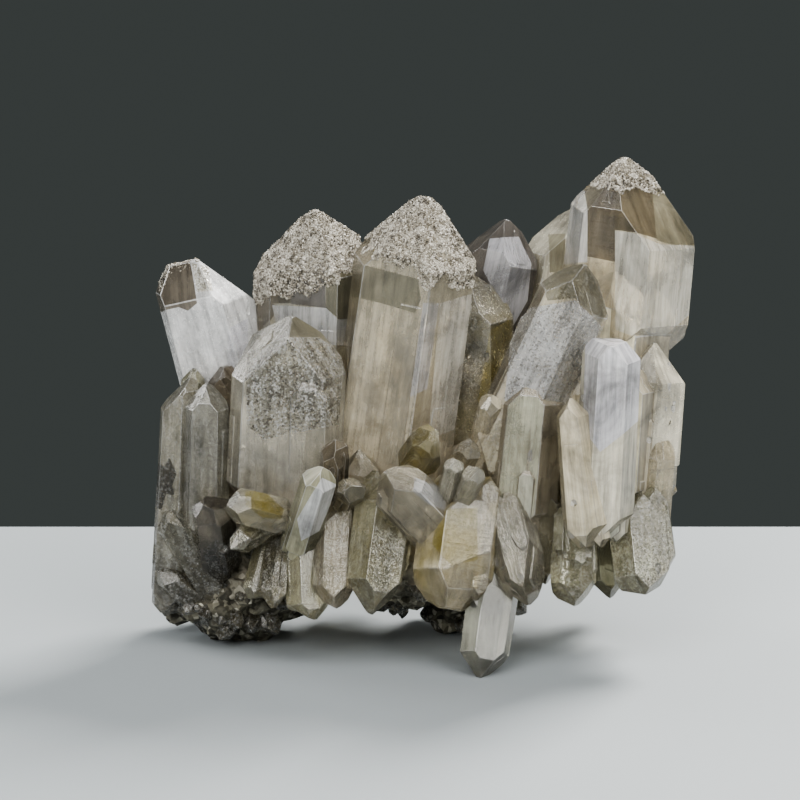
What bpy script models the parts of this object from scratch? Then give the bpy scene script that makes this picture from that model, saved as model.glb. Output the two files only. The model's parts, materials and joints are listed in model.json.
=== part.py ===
"""A quartz crystal cluster: one natural piece of grown-together quartz points on their own rock.

The layout below is in millimetres: +X to the right, +Y away from the front, +Z up, and the surface that
the cluster rests on at Z 0. The solid is built in metres.
"""

import math
import random
from collections import namedtuple

import bmesh
import bpy
from mathutils import Matrix, Vector, noise

MM = 0.001

# Quartz: angle between a termination face and the plane across the crystal
CAP_SLOPE = math.radians(51.8)
PRISM_FACES = 6
# How unevenly the six prism faces grew, as a share of the crystal's half width
FACE_UNEVENNESS = 0.07
# Extra distance of each termination face from the apex, as a share of the width: three large, three small
CAP_LARGE = 0.04
CAP_SMALL = 0.26
# How much of the lower termination is broken off, as a share of the width
FOOT_BREAK = 0.12

Crystal = namedtuple("Crystal", "name foot tip width depth turn skew taper blunt caps")


def crystal(name, foot, tip, width, depth=None, turn=30, skew=(0, 0), taper=1.0, blunt=0.0, caps=None):
    """One quartz point. foot and tip are where its axis starts and where its apex is.

    turn is the roll of its prism faces about the axis, 30 with a face to the front and 0 with an edge.
    skew moves the apex off the prism's middle, across and away. taper is how many degrees each prism face
    leans in. blunt cuts that much off the apex. caps holds the six extra distances of the termination faces.
    """
    return Crystal(name, foot, tip, width, depth or width * 0.85, turn, skew, taper, blunt, caps)


# The tall points that make the skyline, from left to right
SKYLINE = (
    crystal("leaning_left", (-36, 11, 26), (-55, 12, 86), 23, 17, turn=14, skew=(-3, 0), blunt=1.4,
            caps=(0.10, 0.02, 0.20, 0.12, 0.02, 0.16)),
    crystal("tall_left", (-27.7, 10, 22), (-24.3, 7, 97), 25, 20, turn=22, skew=(1.3, 0), taper=0.4),
    crystal("tall_middle", (-11, 3, 22), (-0.6, -3, 101.5), 25, 22, turn=12, taper=0.9),
    crystal("shoulder", (9, 9, 24), (8.5, 9, 83), 20, 15, turn=25),
    crystal("back_middle", (5, 15, 28), (18.5, 20, 93), 17, 14, turn=10),
    crystal("back_right", (27, 20, 28), (35, 26, 95), 22, 16, turn=28),
    crystal("tall_right", (43, 8, 58), (43.8, 8, 108.6), 28.5, 22, turn=10, skew=(-3.8, 0)),
    crystal("right_column", (38, 5, 24), (43, 6, 84), 24, 20, turn=16, taper=0.5),
)

# The points that stand in front of them
MIDDLE_ROW = (
    crystal("front_left", (-32.5, -6, 24), (-29.6, -10, 76.4), 24, 15, turn=26, taper=0.6),
    crystal("leaning_right", (14, -8, 38), (34.2, -11, 88), 15.5, 13, turn=12, skew=(-1.5, 0)),
    crystal("below_leaning", (20, -14, 26), (23.6, -11, 65), 14, 12, turn=20, blunt=2),
    crystal("lilac", (38, -19, 27), (40, -21, 76), 11.5, 10, turn=28, taper=0.8, blunt=3.2),
    crystal("spindle", (35.5, -23, 27), (31, -22, 60.5), 7, 6, turn=10, taper=3.5),
    crystal("right_wall", (48, -3, 34), (50.6, -3, 69), 14, 13, turn=8, taper=1.0),
    crystal("right_wall_inner", (44, -9, 32), (45.8, -9, 65), 9, 9, turn=20),
    crystal("right_wall_low", (48.5, -6, 22), (51, -8, 50), 9, 9, turn=5, taper=2.0),
)

# The smaller points at the left end
LEFT_END = (
    crystal("left_outer", (-57.2, -2, 6), (-52.4, -4, 61.5), 8, 8, turn=10, skew=(2, 0)),
    crystal("left_outer_small", (-53, 3, 30), (-52, 2, 62.5), 5, 5, turn=20),
    crystal("left_inner", (-50, -5, 20), (-48.5, -8, 61), 9, 8, turn=28),
    crystal("left_brown", (-42, 1, 28), (-45, 2, 64), 9.5, 8, turn=20, blunt=1.2),
    crystal("left_nose", (-46, -4, 16), (-47.5, -19, 38), 9, 8, turn=15),
    crystal("left_low", (-46, -4, 10), (-58, -10, 33), 8.5, 7, turn=20),
    crystal("left_blade", (-44, -4, 4), (-60, -8, 18), 6, 4.5, turn=30),
    crystal("left_under", (-46, 0, 2), (-61, -2, 25), 8, 7, turn=0),
)

# The small points that hang and sprawl along the front
FRONT = (
    crystal("honey_left", (-29, -16, 32), (-44, -25, 38), 8, 7, turn=15),
    crystal("honey_left_lower", (-33, -12, 33), (-43, -23, 27), 7, 6, turn=0),
    crystal("hanging_left", (-34, -10, 28), (-38.5, -20, 13.5), 6, 5, turn=25),
    crystal("hanging_left_inner", (-32, -12, 28), (-34, -24, 14), 5.5, 5, turn=10),
    crystal("white_flash", (-29, -16, 24), (-22.5, -30, 47), 7.5, 6.5, turn=22),
    crystal("hanging_middle", (-27, -14, 30), (-26, -23, 9), 9, 8, turn=10),
    crystal("hanging_middle_right", (-20, -14, 34), (-21, -26, 14), 8, 7, turn=25),
    crystal("stub_left", (-21, -12, 36), (-20, -21, 51), 6, 5, turn=15),
    crystal("stub_left_low", (-18, -12, 34), (-16, -24, 42), 6, 5, turn=5),
    crystal("hanging_wide", (-8, -13, 42), (-12.5, -25, 12.5), 12.5, 11, turn=14),
    crystal("grey_slab", (5, -18, 28), (-9, -29, 46), 12, 9, turn=24),
    crystal("honey_middle", (-4, -14, 42), (2, -26, 54), 8.5, 7, turn=20),
    crystal("splinter_left", (4, -20, 36), (6, -31, 49), 4.2, 3.5, turn=10),
    crystal("splinter_right", (7, -20, 36), (10.5, -31, 47), 4.8, 4, turn=30),
    crystal("stub_middle", (12, -8, 44), (14, -15, 60), 5, 5, turn=10),
    crystal("stub_middle_low", (5, -6, 37), (10, -21, 50), 5, 4.5, turn=0),
    crystal("honey_hanging", (9, -15, 42), (4.5, -28, 12.5), 17, 13, turn=18, blunt=2.2),
    crystal("hanging_right", (16, -15, 38), (22, -27, 15.5), 10.5, 9, turn=24),
    crystal("hanging_right_back", (24, -11, 40), (26, -17, 17), 10, 8, turn=15),
    crystal("foot_point", (17, -13, 32), (11.5, -30, -0.6), 10, 8.5, turn=20),
    crystal("end_point_left", (32, -13, 34), (32, -22, 13.5), 9.5, 8.5, turn=15),
    crystal("end_point_middle", (39, -8, 30), (40.5, -13, 12.5), 6, 6, turn=28),
    crystal("end_point_right", (46, -10, 38), (48.5, -20, 13.5), 12.5, 10, turn=12),
)

# The points on the side that the front hides
BACK = (
    crystal("back_a", (-26, 12, 22), (-38, 29, 66), 13, 12, turn=10),
    crystal("back_b", (-10, 12, 22), (-14, 33, 74), 15, 13, turn=25),
    crystal("back_c", (6, 14, 20), (8, 36, 60), 12, 11, turn=5),
    crystal("back_d", (24, 14, 26), (29, 37, 70), 15, 13, turn=18),
    crystal("back_e", (40, 12, 26), (49, 30, 63), 12, 11, turn=28),
    crystal("back_f", (-38, 10, 14), (-51, 26, 40), 9.5, 9, turn=12),
    crystal("back_g", (-18, 14, 18), (-25, 37, 36), 9, 8, turn=0),
    crystal("back_h", (30, 12, 22), (39, 35, 38), 9.5, 8, turn=22),
    crystal("back_i", (-4, 14, 18), (-5, 38, 29), 8.5, 8, turn=14),
    crystal("back_j", (44, 8, 28), (52, 22, 44), 8, 8, turn=5),
)

# Points that stand in between, where the others hide them
BETWEEN = (
    crystal("between_left", (-7, 14, 30), (-8, 16, 66), 12, 10, turn=12),
    crystal("between_middle", (20, 2, 30), (21, 0, 60), 14, 13, turn=20),
    crystal("between_tall", (27, 2, 32), (28.5, 0, 73), 15, 13, turn=5),
    crystal("between_right", (34, -4, 30), (35.5, -7, 66), 12, 12, turn=26),
    crystal("between_low", (-14, -8, 26), (-15, -13, 47), 8, 8, turn=8),
)

# Lumps of the rock that the points grew from: middle, radii and how finely each is faceted
Lump = namedtuple("Lump", "name middle radii detail")
ROCK = (
    Lump("rock_left", (-43, 4, 11.5), (16, 15, 12.5), 3),
    Lump("rock_left_inner", (-29, 3, 25), (15, 14, 14), 3),
    Lump("rock_middle", (-13, 5, 29), (14, 15, 15), 3),
    Lump("rock_under", (-4, 1, 19), (12, 16, 11), 3),
    Lump("rock_heel", (10, 11, 9), (10, 12, 11.5), 3),
    Lump("rock_right_inner", (10, 4, 30), (15, 16, 17), 3),
    Lump("rock_right", (28, 4, 33), (15, 15, 17), 3),
    Lump("rock_end", (42, 3, 33), (11, 12, 15), 3),
)
ROCK_ROUGHNESS = 0.22
ROCK_GRAIN = 11.0

# Small points that fill the hidden side and the underside
DRUSE_COUNT = 34
DRUSE_WIDTH = (4.0, 7.5)
DRUSE_LENGTH = (17.0, 24.0)


def druse(dice):
    """Small points at random that stand out of the rock towards the back and downwards."""
    for index in range(DRUSE_COUNT):
        share = (index + dice.uniform(0.1, 0.9)) / DRUSE_COUNT
        x = -40 + 84 * share
        foot = Vector((x, 6, 26 if x > -28 else 15))
        angle = math.radians(dice.uniform(-50, 45))
        way = Vector((dice.uniform(-0.45, 0.45), math.cos(angle), math.sin(angle)))
        tip = foot + way.normalized() * dice.uniform(*DRUSE_LENGTH)
        width = dice.uniform(*DRUSE_WIDTH)
        yield crystal("druse_%02d" % index, tuple(foot), tuple(tip), width, turn=dice.uniform(0, 60))


# Still smaller points that crowd the rock, and the box that keeps them inside the outline
SMALL_COUNT = 330
SMALL_WIDTH = (1.8, 4.2)
SMALL_ROOT = 4.0
SMALL_WITHIN = ((-61.3, -31.1, 0.3), (58.9, 39.0, 108.0))
# The solid has only those whose ends stand this far out of every lump of rock, as a share of its radii
SMALL_OUT = 1.22


def small_points(dice):
    """Small points that crowd the foot of the cluster all round."""
    low, high = SMALL_WITHIN
    for index in range(SMALL_COUNT):
        lump = ROCK[index % len(ROCK)]
        out = Vector((dice.gauss(0, 1), dice.gauss(0, 1), dice.gauss(-0.25, 0.8))).normalized()
        foot = Vector(lump.middle) + Vector(a * b * 0.8 for a, b in zip(out, lump.radii))
        way = out + Vector((dice.gauss(0, 0.35), dice.gauss(0, 0.35), dice.gauss(-0.1, 0.35)))
        width = dice.uniform(*SMALL_WIDTH)
        tip = foot + way.normalized() * (dice.uniform(2.4, 3.6) + width * 0.75)
        foot -= way.normalized() * SMALL_ROOT
        if all(low[axis] < tip[axis] < high[axis] for axis in range(3)):
            yield crystal("small_%03d" % index, tuple(foot), tuple(tip), width, turn=dice.uniform(0, 60))


def stands_out(point):
    """Whether a point of the layout is well outside every lump of rock."""
    for lump in ROCK:
        away = Vector(point) - Vector(lump.middle)
        if Vector(a / b for a, b in zip(away, lump.radii)).length < SMALL_OUT:
            return False
    return True


def axes_of(spec):
    """The crystal's own directions: across, away and along, in the layout."""
    along = (Vector(spec.tip) - Vector(spec.foot)).normalized()
    across = Vector((0, 1, 0)).cross(along)
    if across.length < 0.3:
        across = Vector((0, 0, 1)).cross(along)
    across.normalize()
    return across, along.cross(across), along


def planes_of(spec, dice):
    """The planes that bound a quartz point, each as a point on it and its outward normal."""
    across, away, along = axes_of(spec)
    apex = Vector(spec.tip)
    foot = Vector(spec.foot)
    middle = apex - across * spec.skew[0] - away * spec.skew[1]
    along = (middle - foot).normalized()
    across = (across - along * across.dot(along)).normalized()
    away = along.cross(across)
    shoulder = middle - along * spec.width * 0.6
    lean = math.radians(spec.taper)
    planes = []
    for face in range(PRISM_FACES):
        angle = math.radians(spec.turn + 60 * face)
        outward = across * math.cos(angle) + away * math.sin(angle)
        reach = math.hypot(spec.width / 2 * math.cos(angle), spec.depth / 2 * math.sin(angle))
        reach *= 0.97 + dice.uniform(-FACE_UNEVENNESS, FACE_UNEVENNESS)
        planes.append((shoulder + outward * reach, outward * math.cos(lean) + along * math.sin(lean)))
        usual = (CAP_LARGE if face % 2 else CAP_SMALL) * dice.uniform(0.1, 1.3)
        extra = (spec.caps[face] if spec.caps else usual) * spec.width
        normal = outward * math.sin(CAP_SLOPE) + along * math.cos(CAP_SLOPE)
        planes.append((apex + along * extra, normal))
        normal = outward * math.sin(CAP_SLOPE) - along * math.cos(CAP_SLOPE)
        planes.append((foot - along * extra, normal))
    if spec.blunt:
        planes.append((apex - along * spec.blunt, along))
    planes.append((foot + along * spec.width * FOOT_BREAK, -along))
    return planes, foot, along


def cut(shape, point, normal):
    """Cuts a convex solid by a plane, keeping the side that the normal points away from."""
    done = bmesh.ops.bisect_plane(
        shape, geom=shape.verts[:] + shape.edges[:] + shape.faces[:], dist=1e-6,
        plane_co=point, plane_no=normal, clear_outer=True,
    )
    rim = [piece for piece in done["geom_cut"] if isinstance(piece, bmesh.types.BMEdge)]
    if rim:
        bmesh.ops.holes_fill(shape, edges=rim, sides=0)


def new_object(name, shape, collection):
    """Turns a shape in millimetres of the layout into an object in metres."""
    bmesh.ops.recalc_face_normals(shape, faces=shape.faces[:])
    shape.transform(Matrix.Scale(MM, 4))
    mesh = bpy.data.meshes.new(name)
    shape.to_mesh(mesh)
    shape.free()
    made = bpy.data.objects.new(name, mesh)
    collection.objects.link(made)
    return made


def make_crystal(spec, dice, collection):
    """A block cut by the planes of the crystal's faces, as a natural point is bounded by them."""
    planes, foot, along = planes_of(spec, dice)
    shape = bmesh.new()
    length = (Vector(spec.tip) - foot).length
    bmesh.ops.create_cube(shape, size=2)
    reach = max(spec.width, spec.depth)
    bmesh.ops.scale(shape, vec=(reach, reach, length), verts=shape.verts[:])
    facing = along.to_track_quat("Z", "Y").to_matrix().to_4x4()
    bmesh.ops.transform(shape, matrix=Matrix.Translation(foot) @ facing, verts=shape.verts[:])
    for point, normal in planes:
        cut(shape, point, normal)
    return new_object(spec.name, shape, collection)


def make_lump(spec, collection):
    """A rough lump of rock: a ball pushed in and out by noise."""
    shape = bmesh.new()
    bmesh.ops.create_icosphere(shape, subdivisions=spec.detail, radius=1)
    middle = Vector(spec.middle)
    for vert in shape.verts:
        place = Vector(a * b for a, b in zip(vert.co, spec.radii))
        bump = noise.fractal((place + middle) / ROCK_GRAIN, 0.7, 2.0, 3)
        bump += 0.8 * noise.cell_vector((place + middle) / ROCK_GRAIN * 2).x - 0.4
        swell = 1 + ROCK_ROUGHNESS * bump
        vert.co = middle + place * swell
    return new_object(spec.name, shape, collection)


def make_surface_cutter(collection):
    """The surface that the cluster rests on, as a block that trims its feet flat."""
    shape = bmesh.new()
    bmesh.ops.create_cube(shape, size=200)
    bmesh.ops.translate(shape, vec=(0, 0, -100), verts=shape.verts[:])
    return new_object("resting_surface", shape, collection)


def quartz_material():
    """Pale smoky quartz."""
    made = bpy.data.materials.new("smoky_quartz")
    made.use_nodes = True
    shader = made.node_tree.nodes["Principled BSDF"]
    shader.inputs["Base Color"].default_value = (0.62, 0.58, 0.50, 1)
    shader.inputs["Roughness"].default_value = 0.2
    shader.inputs["Metallic"].default_value = 0
    shader.inputs["IOR"].default_value = 1.544
    return made


def add_boolean(body, name, operation, operand):
    """Adds an exact Boolean with one object or with a collection of them."""
    added = body.modifiers.new(name, "BOOLEAN")
    added.operation = operation
    added.solver = "EXACT"
    if isinstance(operand, bpy.types.Collection):
        added.operand_type = "COLLECTION"
        added.collection = operand
    else:
        added.object = operand


def islands_of(shape):
    """The separate closed skins of a shape, each as a set of faces."""
    left = set(shape.faces)
    while left:
        island = set()
        edge_of_growth = [left.pop()]
        while edge_of_growth:
            face = edge_of_growth.pop()
            island.add(face)
            for side in face.edges:
                for other in side.link_faces:
                    if other in left:
                        left.remove(other)
                        edge_of_growth.append(other)
        yield island


def keep_outer_skin(body):
    """Applies the Booleans and fills the hollows that stay shut in between the crystals."""
    evaluated = body.evaluated_get(bpy.context.evaluated_depsgraph_get())
    solid = bpy.data.meshes.new_from_object(evaluated)
    body.modifiers.clear()
    body.data = solid
    shape = bmesh.new()
    shape.from_mesh(solid)
    skins = sorted(islands_of(shape), key=len)
    for skin in skins[:-1]:
        if sum(face.calc_center_median().dot(face.normal) * face.calc_area() for face in skin) > 0:
            raise ValueError("a crystal doesn't reach the others")
        bmesh.ops.delete(shape, geom=list(skin), context="FACES")
    lows = [min(vert.co[axis] for vert in shape.verts) for axis in range(3)]
    highs = [max(vert.co[axis] for vert in shape.verts) for axis in range(3)]
    middle = Vector(((lows[0] + highs[0]) / 2, (lows[1] + highs[1]) / 2, lows[2]))
    bmesh.ops.translate(shape, vec=-middle, verts=shape.verts[:])
    shape.to_mesh(solid)
    shape.free()


def build():
    for old in list(bpy.data.objects):
        bpy.data.objects.remove(old)
    scene = bpy.context.scene.collection
    specimen = bpy.data.collections.new("quartz_crystal_cluster")
    helpers = bpy.data.collections.new("joined_shapes")
    cutters = bpy.data.collections.new("cutters")
    for collection in (specimen, helpers, cutters):
        scene.children.link(collection)

    dice = random.Random(5)
    for spec in (*SKYLINE, *MIDDLE_ROW, *LEFT_END, *FRONT, *BACK, *druse(dice), *BETWEEN):
        make_crystal(spec, dice, helpers)
    for spec in small_points(random.Random(3)):
        if stands_out(spec.tip):
            make_crystal(spec, random.Random(spec.name), helpers)
    body = make_lump(ROCK[0], specimen)
    body.name = "quartz_cluster"
    for spec in ROCK[1:]:
        make_lump(spec, helpers)
    surface = make_surface_cutter(cutters)
    add_boolean(body, "grown_together", "UNION", helpers)
    add_boolean(body, "resting_feet", "DIFFERENCE", surface)
    keep_outer_skin(body)
    body.data.materials.clear()
    body.data.materials.append(quartz_material())
    for helper in [*helpers.objects, surface]:
        helper.hide_render = True
        helper.display_type = "WIRE"


build()
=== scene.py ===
"""Dresses the quartz crystal cluster: bevelled, stepped crystals, sugary tips, a grainy crust and its stage.

The layout is in millimetres, as the solids' own: +X to the right, +Y away from the front, +Z up.
"""

import json
import math
import random
from collections import namedtuple

import bmesh
import bpy
import numpy as np
from mathutils import Matrix, Vector, noise

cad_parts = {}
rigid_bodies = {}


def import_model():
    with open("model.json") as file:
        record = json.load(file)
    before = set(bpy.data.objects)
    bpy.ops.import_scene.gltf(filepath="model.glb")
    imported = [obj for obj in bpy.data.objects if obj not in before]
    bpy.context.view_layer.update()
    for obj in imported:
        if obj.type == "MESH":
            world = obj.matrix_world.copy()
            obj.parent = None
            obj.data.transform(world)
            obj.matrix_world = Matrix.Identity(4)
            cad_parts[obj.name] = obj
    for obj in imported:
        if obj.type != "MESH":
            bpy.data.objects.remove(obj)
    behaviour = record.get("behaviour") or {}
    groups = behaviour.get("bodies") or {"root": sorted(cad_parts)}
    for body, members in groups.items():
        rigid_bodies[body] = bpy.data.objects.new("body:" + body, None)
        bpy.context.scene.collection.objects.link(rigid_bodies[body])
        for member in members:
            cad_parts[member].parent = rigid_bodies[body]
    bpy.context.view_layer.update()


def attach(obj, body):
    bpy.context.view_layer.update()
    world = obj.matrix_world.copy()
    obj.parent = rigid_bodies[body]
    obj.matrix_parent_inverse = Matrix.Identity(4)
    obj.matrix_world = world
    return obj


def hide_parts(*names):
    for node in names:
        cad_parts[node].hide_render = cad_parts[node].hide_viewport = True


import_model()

MM = 0.001
NODE = "quartz_cluster"
# Middle of the layout's footprint, which is the frame's origin
FOOTPRINT_MIDDLE = Vector((-1.2386, 3.9026, 0.0))

PRISM_FACES = 6
# How the crystals are formed; apart from the slope of the end faces, these are shares of their width
CAP_SLOPE = math.radians(51.8)
FACE_UNEVENNESS = 0.07
CAP_LARGE = 0.04
CAP_SMALL = 0.26
FOOT_BREAK = 0.12
# How far the edges are worn, in millimetres, and by what share of the width more
EDGE_BEVEL = 0.05
EDGE_BEVEL_SHARE = 0.006

Crystal = namedtuple("Crystal", "name foot tip width depth turn skew taper blunt caps")


def crystal(name, foot, tip, width, depth=None, turn=30, skew=(0, 0), taper=1.0, blunt=0.0, caps=None):
    """One quartz point: foot and tip of its axis, width, depth and, in degrees, the roll of its faces."""
    return Crystal(name, foot, tip, width, depth or width * 0.85, turn, skew, taper, blunt, caps)


SKYLINE = (
    crystal("leaning_left", (-36, 11, 26), (-55, 12, 86), 23, 17, 14, skew=(-3, 0), blunt=1.4,
            caps=(0.1, 0.02, 0.2, 0.12, 0.02, 0.16)),
    crystal("tall_left", (-27.7, 10, 22), (-24.3, 7, 97), 25, 20, 22, skew=(1.3, 0), taper=0.4),
    crystal("tall_middle", (-11, 3, 22), (-0.6, -3, 101.5), 25, 22, 12, taper=0.9),
    crystal("shoulder", (9, 9, 24), (8.5, 9, 83), 20, 15, 25),
    crystal("back_middle", (5, 15, 28), (18.5, 20, 93), 17, 14, 10),
    crystal("back_right", (27, 20, 28), (35, 26, 95), 22, 16, 28),
    crystal("tall_right", (43, 8, 58), (43.8, 8, 108.6), 28.5, 22, 10, skew=(-3.8, 0)),
    crystal("right_column", (38, 5, 24), (43, 6, 84), 24, 20, 16, taper=0.5),
)

MIDDLE_ROW = (
    crystal("front_left", (-32.5, -6, 24), (-29.6, -10, 76.4), 24, 15, 26, taper=0.6),
    crystal("leaning_right", (14, -8, 38), (34.2, -11, 88), 15.5, 13, 12, skew=(-1.5, 0)),
    crystal("below_leaning", (20, -14, 26), (23.6, -11, 65), 14, 12, 20, blunt=2),
    crystal("lilac", (38, -19, 27), (40, -21, 76), 11.5, 10, 28, taper=0.8, blunt=3.2),
    crystal("spindle", (35.5, -23, 27), (31, -22, 60.5), 7, 6, 10, taper=3.5),
    crystal("right_wall", (48, -3, 34), (50.6, -3, 69), 14, 13, 8, taper=1),
    crystal("right_wall_inner", (44, -9, 32), (45.8, -9, 65), 9, 9, 20),
    crystal("right_wall_low", (48.5, -6, 22), (51, -8, 50), 9, 9, 5, taper=2),
)

LEFT_END = (
    crystal("left_outer", (-57.2, -2, 6), (-52.4, -4, 61.5), 8, 8, 10, skew=(2, 0)),
    crystal("left_outer_small", (-53, 3, 30), (-52, 2, 62.5), 5, 5, 20),
    crystal("left_inner", (-50, -5, 20), (-48.5, -8, 61), 9, 8, 28),
    crystal("left_brown", (-42, 1, 28), (-45, 2, 64), 9.5, 8, 20, blunt=1.2),
    crystal("left_nose", (-46, -4, 16), (-47.5, -19, 38), 9, 8, 15),
    crystal("left_low", (-46, -4, 10), (-58, -10, 33), 8.5, 7, 20),
    crystal("left_blade", (-44, -4, 4), (-60, -8, 18), 6, 4.5, 30),
    crystal("left_under", (-46, 0, 2), (-61, -2, 25), 8, 7, 0),
)

FRONT = (
    crystal("honey_left", (-29, -16, 32), (-44, -25, 38), 8, 7, 15),
    crystal("honey_left_lower", (-33, -12, 33), (-43, -23, 27), 7, 6, 0),
    crystal("hanging_left", (-34, -10, 28), (-38.5, -20, 13.5), 6, 5, 25),
    crystal("hanging_left_inner", (-32, -12, 28), (-34, -24, 14), 5.5, 5, 10),
    crystal("white_flash", (-29, -16, 24), (-22.5, -30, 47), 7.5, 6.5, 22),
    crystal("hanging_middle", (-27, -14, 30), (-26, -23, 9), 9, 8, 10),
    crystal("hanging_middle_right", (-20, -14, 34), (-21, -26, 14), 8, 7, 25),
    crystal("stub_left", (-21, -12, 36), (-20, -21, 51), 6, 5, 15),
    crystal("stub_left_low", (-18, -12, 34), (-16, -24, 42), 6, 5, 5),
    crystal("hanging_wide", (-8, -13, 42), (-12.5, -25, 12.5), 12.5, 11, 14),
    crystal("grey_slab", (5, -18, 28), (-9, -29, 46), 12, 9, 24),
    crystal("honey_middle", (-4, -14, 42), (2, -26, 54), 8.5, 7, 20),
    crystal("splinter_left", (4, -20, 36), (6, -31, 49), 4.2, 3.5, 10),
    crystal("splinter_right", (7, -20, 36), (10.5, -31, 47), 4.8, 4, 30),
    crystal("stub_middle", (12, -8, 44), (14, -15, 60), 5, 5, 10),
    crystal("stub_middle_low", (5, -6, 37), (10, -21, 50), 5, 4.5, 0),
    crystal("honey_hanging", (9, -15, 42), (4.5, -28, 12.5), 17, 13, 18, blunt=2.2),
    crystal("hanging_right", (16, -15, 38), (22, -27, 15.5), 10.5, 9, 24),
    crystal("hanging_right_back", (24, -11, 40), (26, -17, 17), 10, 8, 15),
    crystal("foot_point", (17, -13, 32), (11.5, -30, -0.6), 10, 8.5, 20),
    crystal("end_point_left", (32, -13, 34), (32, -22, 13.5), 9.5, 8.5, 15),
    crystal("end_point_middle", (39, -8, 30), (40.5, -13, 12.5), 6, 6, 28),
    crystal("end_point_right", (46, -10, 38), (48.5, -20, 13.5), 12.5, 10, 12),
)

BACK = (
    crystal("back_a", (-26, 12, 22), (-38, 29, 66), 13, 12, 10),
    crystal("back_b", (-10, 12, 22), (-14, 33, 74), 15, 13, 25),
    crystal("back_c", (6, 14, 20), (8, 36, 60), 12, 11, 5),
    crystal("back_d", (24, 14, 26), (29, 37, 70), 15, 13, 18),
    crystal("back_e", (40, 12, 26), (49, 30, 63), 12, 11, 28),
    crystal("back_f", (-38, 10, 14), (-51, 26, 40), 9.5, 9, 12),
    crystal("back_g", (-18, 14, 18), (-25, 37, 36), 9, 8, 0),
    crystal("back_h", (30, 12, 22), (39, 35, 38), 9.5, 8, 22),
    crystal("back_i", (-4, 14, 18), (-5, 38, 29), 8.5, 8, 14),
    crystal("back_j", (44, 8, 28), (52, 22, 44), 8, 8, 5),
)

# Points that stand in between, where the others hide them
BETWEEN = (
    crystal("between_left", (-7, 14, 30), (-8, 16, 66), 12, 10, 12),
    crystal("between_middle", (20, 2, 30), (21, 0, 60), 14, 13, 20),
    crystal("between_tall", (27, 2, 32), (28.5, 0, 73), 15, 13, 5),
    crystal("between_right", (34, -4, 30), (35.5, -7, 66), 12, 12, 26),
    crystal("between_low", (-14, -8, 26), (-15, -13, 47), 8, 8, 8),
)

# The lumps of rock, as ellipsoids that are made rough
Lump = namedtuple("Lump", "name middle radii detail")
ROCK = (
    Lump("rock_left", (-43, 4, 11.5), (16, 15, 12.5), 5),
    Lump("rock_left_inner", (-29, 3, 25), (15, 14, 14), 4),
    Lump("rock_middle", (-13, 5, 29), (14, 15, 15), 4),
    Lump("rock_under", (-4, 1, 19), (12, 16, 11), 5),
    Lump("rock_heel", (10, 11, 9), (10, 12, 11.5), 5),
    Lump("rock_right_inner", (10, 4, 30), (15, 16, 17), 4),
    Lump("rock_right", (28, 4, 33), (15, 15, 17), 4),
    Lump("rock_end", (42, 3, 33), (11, 12, 15), 4),
)
ROCK_ROUGHNESS = 0.22
ROCK_GRAIN = 11

# Points at random that stand out of the rock, from one end to the other
DRUSE_FROM = -40
DRUSE_SPAN = 84
DRUSE_COUNT = 34
DRUSE_WIDTH = (4, 7.5)
DRUSE_LENGTH = (17, 24)

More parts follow.
